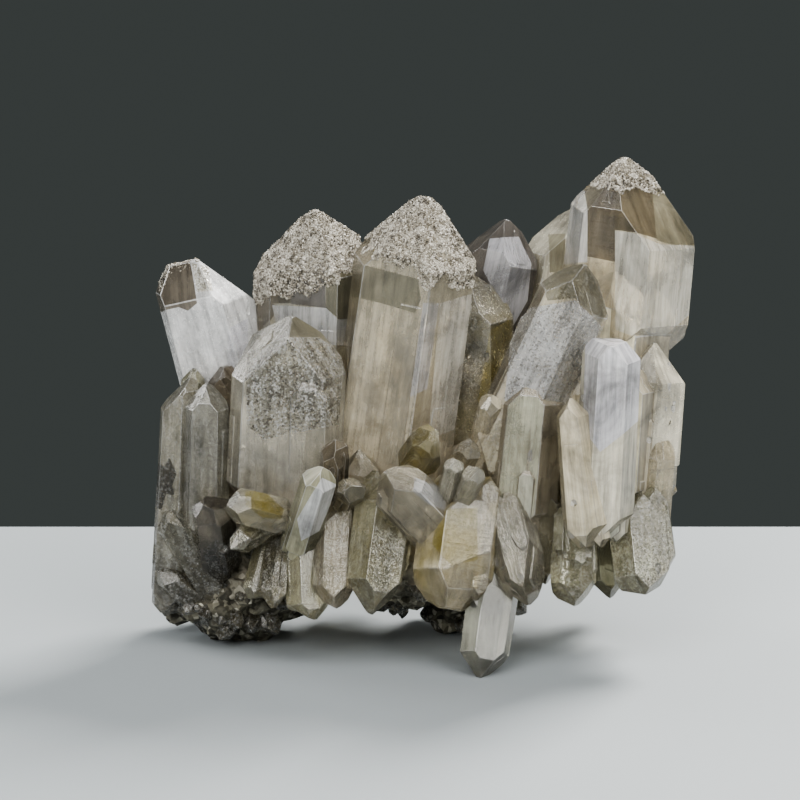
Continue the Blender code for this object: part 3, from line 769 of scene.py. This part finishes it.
class Nodes:
    """The shader nodes of a new material, with short ways to add and link them."""

    def __init__(self, name):
        self.material = bpy.data.materials.new(name)
        self.material.use_nodes = True
        self.tree = self.material.node_tree
        self.tree.nodes.clear()
        self.place = self.add("TexCoord").outputs["Object"]

    def add(self, kind, inputs=None, **settings):
        made = self.tree.nodes.new("ShaderNode" + kind)
        for name, value in settings.items():
            setattr(made, name, value)
        for name, value in (inputs or {}).items():
            if isinstance(value, bpy.types.NodeSocket):
                self.tree.links.new(value, made.inputs[name])
            else:
                made.inputs[name].default_value = value
        return made

    def finish(self, inputs, **others):
        """Ends the material with its surface, and its volume where it has one."""
        shader = self.add("BsdfPrincipled", inputs)
        self.add("OutputMaterial", {"Surface": shader.outputs[0], **others})
        return self.material

    def stored(self, attribute, output="Fac"):
        return self.add("Attribute", attribute_name=attribute).outputs[output]

    def clouds(self, place, scale, detail, roughness=0.5, distortion=0.0):
        inputs = {"Vector": place, "Scale": scale, "Detail": detail, "Roughness": roughness,
                  "Distortion": distortion}
        return self.add("TexNoise", inputs).outputs["Fac"]

    def cells(self, scale):
        """A colour of its own for each cell, and a tone."""
        colour = self.add("TexVoronoi", {"Vector": self.place, "Scale": scale}).outputs["Color"]
        return colour, self.add("SeparateColor", {"Color": colour}).outputs[0]

    def height(self):
        return self.add("SeparateXYZ", {"Vector": self.place}).outputs["Z"]

    def times(self, one, two):
        return self.add("Math", {0: one, 1: two}, operation="MULTIPLY").outputs[0]

    def plus(self, one, two):
        return self.add("Math", {0: one, 1: two}, operation="ADD").outputs[0]

    def mapped(self, value, first, last, low=0.0, high=1.0):
        inputs = {"Value": value, "From Min": first, "From Max": last, "To Min": low, "To Max": high}
        return self.add("MapRange", inputs).outputs["Result"]

    def ramp(self, source, *stops):
        """A colour ramp, with a colour or a grey at each stop."""
        made = self.add("ValToRGB", {"Fac": source})
        elements = made.color_ramp.elements
        while len(elements) < len(stops):
            elements.new(0.5)
        for element, (place, colour) in zip(elements, stops):
            element.position = place
            element.color = (*(colour if isinstance(colour, tuple) else (colour,) * 3), 1)
        return made.outputs["Color"]

    def mix(self, factor, one, two, blend="MIX"):
        inputs = {0: factor, 6: one, 7: two}
        return self.add("Mix", inputs, data_type="RGBA", blend_type=blend).outputs[2]

    def shaded(self, one, two):
        return self.mix(1.0, one, two, "MULTIPLY")

    def vector(self, operation, inputs):
        return self.add("VectorMath", inputs, operation=operation).outputs["Vector"]

    def point(self, x, y, z):
        return self.add("CombineXYZ", {"X": x, "Y": y, "Z": z}).outputs["Vector"]

    def bumped(self, height, strength, depth, normal=None):
        inputs = {"Height": height, "Strength": strength, "Distance": depth}
        if normal:
            inputs["Normal"] = normal
        return self.add("Bump", inputs).outputs[0]


QUARTZ_IOR = 1.544
QUARTZ_DIMS = (0.78, 0.725, 0.60, 1)
QUARTZ_DIMMING = 14.0
STAIN_COLOUR = (0.36, 0.29, 0.07, 1)
SPARKLE_DARK = (0.13, 0.115, 0.095, 1)
# Colour of the brightest spots, a painted glint
SPARKLE_PAINTED_GLINT = (0.93, 0.93, 0.92, 1)
# Etched spots of the sparkle to a metre, how far a spot may tilt, and how rough it makes a face
SPOTS = 2900.0
SPOT_TILT = 0.45
FROST_TILT = 0.3
SPOT_ROUGHNESS = 0.3
FROST_ROUGHNESS = 0.62
# Up to which height, in metres, the quartz is darker than above, as painted shade near the floor, and its
# share at the very bottom
PAINTED_SHADE_BELOW = 0.055
PAINTED_SHADE_SHARE = 0.6
# How much slower the streaks and the clumps of spots change along a crystal than across it
STREAK_STRETCH = 0.07
CLUMP_STRETCH = 0.2


def quartz_material(name, transmission, haze):
    """Quartz with veils, streaks, growth lines across its faces, etched spots with painted glints, iron
    stain, and painted shade low down.
    """
    nodes = Nodes(name)
    place = nodes.place
    frost, stain, sparkle, below, across = map(
        nodes.stored, ("frost", "stain", "sparkle", "below_tip", "across"))

    veils = nodes.ramp(nodes.clouds(place, 75.0, 6.0, 0.62, 0.6), (0.30, 0.38), (0.50, 0.95), (0.70, 1.42))
    colour = nodes.shaded(nodes.stored("tint", "Color"), veils)
    streaks = nodes.clouds(nodes.point(across, nodes.times(below, STREAK_STRETCH), 0.0), 0.75, 5.0, 0.7)
    colour = nodes.shaded(colour, nodes.ramp(streaks, (0.34, 0.60), (0.52, 1.0), (0.68, 1.28)))
    # Painted shade: the quartz darker towards the floor
    colour = nodes.shaded(colour, nodes.mapped(nodes.height(), 0.0, PAINTED_SHADE_BELOW, PAINTED_SHADE_SHARE))
    stained = nodes.ramp(nodes.clouds(place, 110.0, 5.0, 0.65), (0.40, 0), (0.64, 1))
    colour = nodes.mix(nodes.times(stain, stained), colour, STAIN_COLOUR)

    spots, spot_tone = nodes.cells(SPOTS)
    clumps = nodes.clouds(nodes.point(across, nodes.times(below, CLUMP_STRETCH), 0.0), 0.55, 6.0, 0.72)
    clumped = nodes.plus(spot_tone, nodes.mapped(clumps, 0.3, 0.7, -0.5, 0.5))
    # The darkest spots are darkened, and the brightest are painted glints, white in the colour itself
    dark = nodes.times(sparkle, nodes.ramp(clumped, (0.05, 1.0), (0.34, 0.0)))
    painted_glints = nodes.times(sparkle, nodes.ramp(clumped, (0.62, 0.0), (0.92, 1.0)))
    colour = nodes.mix(dark, colour, SPARKLE_DARK)
    colour = nodes.mix(painted_glints, colour, SPARKLE_PAINTED_GLINT)

    frosted = nodes.ramp(nodes.clouds(place, 900.0, 3.0, 0.7), (0.35, 0.0), (0.65, 1.0))
    rough = nodes.plus(nodes.times(frost, frosted), nodes.times(sparkle, SPOT_ROUGHNESS))
    rough = nodes.mapped(rough, 0.0, 1.0, haze, FROST_ROUGHNESS)

    # Each spot faces its own way a little, so that some of them catch the light
    tilt = nodes.times(nodes.plus(nodes.times(frost, FROST_TILT), sparkle), SPOT_TILT)
    centred = nodes.vector("SUBTRACT", {0: spots, 1: (0.5, 0.5, 0.5)})
    tilted = nodes.vector("SCALE", {0: centred, "Scale": tilt})
    facing = nodes.vector("ADD", {0: nodes.add("NewGeometry").outputs["Normal"], 1: tilted})
    facing = nodes.vector("NORMALIZE", {0: facing})

    waved = nodes.vector("SCALE", {0: place, "Scale": 60.0})
    lines = nodes.vector("ADD", {0: nodes.point(0.0, 0.0, below), 1: waved})
    facing = nodes.bumped(nodes.clouds(lines, 1.4, 4.0, 0.65), 0.10, 0.0004, facing)
    facing = nodes.bumped(streaks, 0.22, 0.0004, facing)
    facing = nodes.bumped(nodes.clouds(place, 230.0, 3.0), 0.07, 0.0006, facing)

    volume = nodes.add("VolumeAbsorption", {"Color": QUARTZ_DIMS, "Density": QUARTZ_DIMMING})
    return nodes.finish({"Base Color": colour, "Roughness": rough, "Normal": facing, "IOR": QUARTZ_IOR,
                         "Transmission Weight": transmission}, Volume=volume.outputs[0])


CRUST_GRAINS = 900.0
# Where the crust turns into milky quartz, in metres above the surface, and its colour there
CRUST_TOP = (0.022, 0.036)
CRUST_PALE = (0.30, 0.27, 0.21, 1)


def crust_material():
    """Dark grainy crust with pale quartz grains in it, and milky quartz higher up."""
    nodes = Nodes("crust")
    _, tone = nodes.cells(CRUST_GRAINS)
    colour = nodes.ramp(tone, (0.0, (0.026, 0.024, 0.017)), (0.45, (0.088, 0.081, 0.058)),
                        (0.80, (0.20, 0.19, 0.145)), (1.0, (0.50, 0.48, 0.41)))
    blotches = nodes.clouds(nodes.place, 160.0, 5.0, 0.65)
    colour = nodes.shaded(colour, nodes.ramp(blotches, (0.32, 0.45), (0.66, 1.5)))
    pale = nodes.mapped(nodes.plus(nodes.height(), nodes.times(blotches, 0.02)), *CRUST_TOP)
    colour = nodes.mix(pale, colour, CRUST_PALE)
    facing = nodes.bumped(blotches, 0.7, 0.001, nodes.bumped(tone, 0.6, 0.0005))
    return nodes.finish({"Base Color": colour, "Roughness": 0.72, "Normal": facing})


def sugar_material():
    """Sugary quartz grains, cream to grey with dark specks."""
    nodes = Nodes("sugar")
    colour = nodes.ramp(nodes.stored("tone"), (0.0, (0.045, 0.038, 0.028)), (0.22, (0.17, 0.15, 0.115)),
                        (0.55, (0.42, 0.385, 0.32)), (1.0, (0.76, 0.73, 0.66)))
    facing = nodes.bumped(nodes.clouds(nodes.place, 2600.0, 2.0), 0.4, 0.0001)
    return nodes.finish({"Base Color": colour, "Roughness": 0.38, "Normal": facing, "IOR": QUARTZ_IOR,
                         "Transmission Weight": 0.12})


def floor_material():
    nodes = Nodes("pale_floor")
    cloud = nodes.clouds(nodes.place, 3.0, 2.0)
    colour = nodes.ramp(cloud, (0.3, (0.300, 0.326, 0.340)), (0.7, (0.318, 0.344, 0.358)))
    return nodes.finish({"Base Color": colour, "Roughness": 0.6})


def make_crust(material):
    """The lumps of rock at the foot of the crystals, fine-grained, joined into one mesh."""
    whole = bmesh.new()
    for spec in ROCK:
        shape = bmesh.new()
        bmesh.ops.create_icosphere(shape, subdivisions=spec.detail, radius=1)
        middle = Vector(spec.middle)
        for vert in shape.verts:
            outward = vert.co.copy()
            place = Vector(a * b for a, b in zip(vert.co, spec.radii))
            bump = noise.fractal((place + middle) / ROCK_GRAIN, 0.7, 2.0, 3)
            bump += 0.8 * noise.cell_vector((place + middle) / ROCK_GRAIN * 2).x - 0.4
            fine = noise.fractal((place + middle) / 2.2, 0.8, 2.1, 3)
            fine += 0.5 * noise.voronoi((place + middle) / 1.4)[0][0]
            vert.co = middle + place * (0.97 + ROCK_ROUGHNESS * bump) + outward * 0.5 * (fine - 0.5)
            vert.co.z = max(vert.co.z, 0.02)
        piece = bpy.data.meshes.new("lump")
        shape.to_mesh(piece)
        shape.free()
        whole.from_mesh(piece)
        bpy.data.meshes.remove(piece)
    made = add_object("crust", whole, bpy.context.scene.collection)
    made.data.materials.append(material)
    return made


# Sugary tips: crystal, how far it reaches down from the apex, its slant to the right and its ragged edge
Sugar = namedtuple("Sugar", "name reach slant ragged grains")
SUGAR = (
    Sugar("tall_left", 15.0, -0.42, 3.0, 23000),
    Sugar("tall_middle", 15.5, 0.22, 3.0, 24000),
    Sugar("tall_right", 6.6, 0.0, 1.4, 9000),
    Sugar("leaning_left", 3.5, -0.4, 2.5, 2500),
)
GRAIN_SIZE = (0.10, 0.22)


def make_sugar(spec, grown, material, dice):
    """Tiny quartz grains that coat the end of one crystal."""
    item = next(one for one in grown if one.spec.name == spec.name)
    length = (item.apex - item.foot).length
    reach = max(item.spec.width, item.spec.depth)
    shape = convex_from(item.planes, item.foot, item.along, reach, length, 0)
    bmesh.ops.triangulate(shape, faces=shape.faces[:])
    faces = [face for face in shape.faces if face.normal.dot(item.along) > -0.2
             and (item.apex - face.calc_center_median()).dot(item.along) < length * 0.75]
    corners = np.array([[tuple(vert.co) for vert in face.verts] for face in faces])
    normals = np.array([tuple(face.normal) for face in faces])
    areas = np.array([face.calc_area() for face in faces])
    shape.free()
    numbers = np.random.default_rng(dice.randrange(10 ** 6))
    tries = spec.grains * 6
    picked = numbers.choice(len(faces), tries, p=areas / areas.sum())
    shares = np.sort(numbers.random((tries, 2)), axis=1)
    shares = np.column_stack((shares[:, 0], shares[:, 1] - shares[:, 0], 1 - shares[:, 1]))
    places = np.einsum("nk,nki->ni", shares, corners[picked])
    apex = np.array(item.apex)
    drops = (apex - places) @ np.array(item.along)
    ragged = np.array([noise.fractal(Vector(place) / 5.0, 0.8, 2.0, 3) for place in places])
    kept = drops < spec.reach + spec.slant * (places[:, 0] - apex[0]) + spec.ragged * ragged
    places, picked = places[kept][:spec.grains], picked[kept][:spec.grains]
    places = places + normals[picked] * numbers.uniform(-0.10, 0.08, (len(places), 1))
    sizes = numbers.uniform(*GRAIN_SIZE, len(places)) * numbers.choice((1, 1, 1, 1.5), len(places))
    return grains_object("sugar_" + spec.name, places, sizes, material, dice)


OCTAHEDRON = np.array([(1, 0, 0), (0, 1, 0), (-1, 0, 0), (0, -1, 0), (0, 0, 1.3), (0, 0, -1.3)])
OCTAHEDRON_FACES = np.array([
    (0, 1, 4), (1, 2, 4), (2, 3, 4), (3, 0, 4), (1, 0, 5), (2, 1, 5), (3, 2, 5), (0, 3, 5),
])


def grains_object(name, centres, sizes, material, dice):
    """Many small octahedral grains as one mesh, each with its own tone."""
    numbers = np.random.default_rng(dice.randrange(10 ** 6))
    count = len(centres)
    turns = np.array([np.array(any_turn(dice)) for _ in range(count)])
    jitter = 1 + numbers.uniform(-0.28, 0.28, (count, 6, 1))
    points = np.einsum("nij,nkj->nki", turns, OCTAHEDRON[None] * jitter)
    points = points * np.array(sizes)[:, None, None] + centres[:, None, :]
    points = (points - np.array(FOOTPRINT_MIDDLE)) * MM
    faces = (OCTAHEDRON_FACES[None] + 6 * np.arange(count)[:, None, None]).reshape(-1, 3)
    mesh = bpy.data.meshes.new(name)
    mesh.from_pydata(points.reshape(-1, 3).tolist(), [], faces.tolist())
    clumps = np.array([noise.fractal(Vector(centre) / 1.6, 0.8, 2.0, 3) for centre in centres])
    tone = np.clip(numbers.normal(0.48, 0.27, count) + 0.40 * clumps, 0, 1)
    made = mesh.attributes.new("tone", "FLOAT", "FACE")
    made.data.foreach_set("value", np.repeat(tone, 8).astype(np.float32))
    mesh.materials.append(material)
    made = bpy.data.objects.new(name, mesh)
    bpy.context.scene.collection.objects.link(made)
    return made


def add_aimed(name, data, place, target):
    """Puts a light or the camera at a place, aimed at a target."""
    made = bpy.data.objects.new(name, data)
    made.location = place
    made.rotation_euler = (Vector(target) - Vector(place)).to_track_quat("-Z", "Y").to_euler()
    bpy.context.scene.collection.objects.link(made)
    return made


# The lights: name, place and size in metres, power in watts and colour; all are aimed at one point
LIGHTS = (
    ("key", (0.42, 0.55, 0.70), (0.32, 0.32), 19, (1.0, 0.98, 0.945)),
    ("front_fill", (-0.35, -0.80, 0.55), (0.6, 0.4), 6, (1.0, 0.99, 0.965)),
    ("front_right", (0.60, -0.65, 0.60), (0.7, 0.5), 6.5, (1.0, 0.985, 0.955)),
    ("left_rim", (-0.60, 0.30, 0.35), (0.3, 0.5), 3, (1, 1, 1)),
    ("overhead", (0.05, -0.42, 0.85), (0.9, 0.45), 4.5, (1, 1, 1)),
)
LIT_POINT = (0, 0, 0.05)
# How far the floor reaches, in metres
FLOOR_BACK = 0.10
FLOOR_FRONT = -3
FLOOR_WIDTH = 6
BACKDROP = (0.055, 0.062, 0.060, 1)
# The camera, with the point of the layout that it looks at and its distance from it in metres
CAMERA_LENS = 150
CAMERA_LOOK = (-5.94, 0, 55.46)
CAMERA_DISTANCE = 0.745


def make_stage():
    """Pale floor, soft studio light and the photograph's point of view."""
    bpy.ops.mesh.primitive_plane_add(size=1, location=(0, 0, 0))
    floor = bpy.context.object
    for vert in floor.data.vertices:
        vert.co.x *= FLOOR_WIDTH
        vert.co.y = FLOOR_BACK if vert.co.y > 0 else FLOOR_FRONT
    floor.name = "floor"
    floor.data.materials.append(floor_material())

    for name, place, size, power, colour in LIGHTS:
        light = bpy.data.lights.new(name, "AREA")
        light.shape = "RECTANGLE"
        light.size, light.size_y = size
        light.energy = power
        light.color = colour
        add_aimed(name, light, place, LIT_POINT)
    world = bpy.data.worlds.new("studio")
    world.use_nodes = True
    background = world.node_tree.nodes["Background"]
    background.inputs["Color"].default_value = BACKDROP
    background.inputs["Strength"].default_value = 1.0
    bpy.context.scene.world = world
    bpy.context.scene.view_settings.look = "AgX - Medium High Contrast"

    camera = bpy.data.cameras.new("camera")
    camera.lens = CAMERA_LENS
    camera.sensor_width = 36
    camera.clip_start = 0.01
    target = to_frame(CAMERA_LOOK)
    made = add_aimed("camera", camera, target - VIEW * CAMERA_DISTANCE, target)
    bpy.context.scene.camera = made


def dress(piece):
    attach(piece, "root")
    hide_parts(NODE)


make_stage()
MATERIALS = {
    "clear_points": quartz_material("clear_quartz", 0.70, 0.03),
    "milky_points": quartz_material("milky_quartz", 0.45, 0.10),
}
groups, grown = grow_crystals()
for name, parts in groups.items():
    quartz = joined(name, parts, grown[name])
    cut_patches(quartz, grown[name])
    mark_faces(quartz, grown[name])
    quartz.data.materials.clear()
    quartz.data.materials.append(MATERIALS[name])
    dress(quartz)
dress(make_crust(crust_material()))
grown = grown["clear_points"] + grown["milky_points"]
sugar = sugar_material()
for spec in SUGAR:
    dress(make_sugar(spec, grown, sugar, random.Random(spec.name)))
